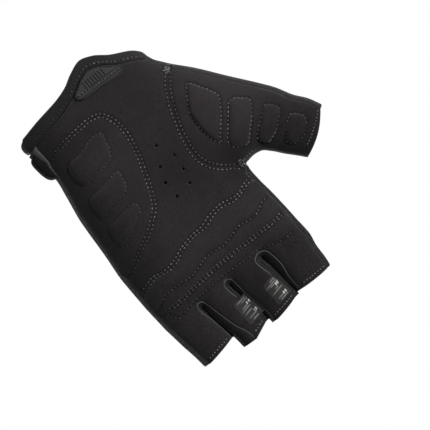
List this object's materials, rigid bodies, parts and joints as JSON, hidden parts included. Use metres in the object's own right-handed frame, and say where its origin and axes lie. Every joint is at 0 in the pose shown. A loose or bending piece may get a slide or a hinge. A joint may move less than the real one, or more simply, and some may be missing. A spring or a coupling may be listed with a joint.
{
  "type": "fingerless cycling glove",
  "caption": "Left-hand fingerless cycling glove with a suede palm, quilted pads, finger pull tabs, an elastic cuff with a pull label and a wrist strap.",
  "frame": {"origin": "middle of the wrist opening, where a wrist enters the glove", "axes": "+Z towards the finger openings, -Y out of the palm, +Y out of the back of the hand, -X towards the thumb"},
  "size_m": [0.1459, 0.0428, 0.1787],
  "materials": {
    "palm_suede": "matt microfibre suede",
    "back_stretch": "plain stretch knit",
    "gusset_stretch": "smooth stretch knit",
    "piping": "light grey reflective piping",
    "cuff_elastic": "smooth elastic",
    "label_woven": "ribbed woven label",
    "tab_woven": "woven tape with pale lines",
    "hook_and_loop": "fuzzy loop fabric",
    "thread": "grey sewing thread"
  },
  "bodies": {
    "root": {"palm_panel": "palm_suede", "thumb_panel": "palm_suede", "heel_pad_upper": "palm_suede", "heel_pad_middle": "palm_suede", "heel_pad_lower": "palm_suede", "thumb_pad_1": "palm_suede", "thumb_pad_2": "palm_suede", "thumb_pad_3": "palm_suede", "thumb_pad_4": "palm_suede", "band_pad_lower": "palm_suede", "band_pad_upper": "palm_suede", "back_panel": "back_stretch", "thumb_back": "back_stretch", "index_side_strip": "back_stretch", "thumb_side_strip": "back_stretch", "fourchette_index_middle": "gusset_stretch", "fourchette_middle_ring": "gusset_stretch", "fourchette_ring_little": "gusset_stretch", "side_piping": "piping", "cuff_band": "cuff_elastic", "cuff_label": "label_woven", "pull_tab_middle": "tab_woven", "pull_tab_ring": "tab_woven", "closure_strap": "hook_and_loop"}
  },
  "joints": []
}
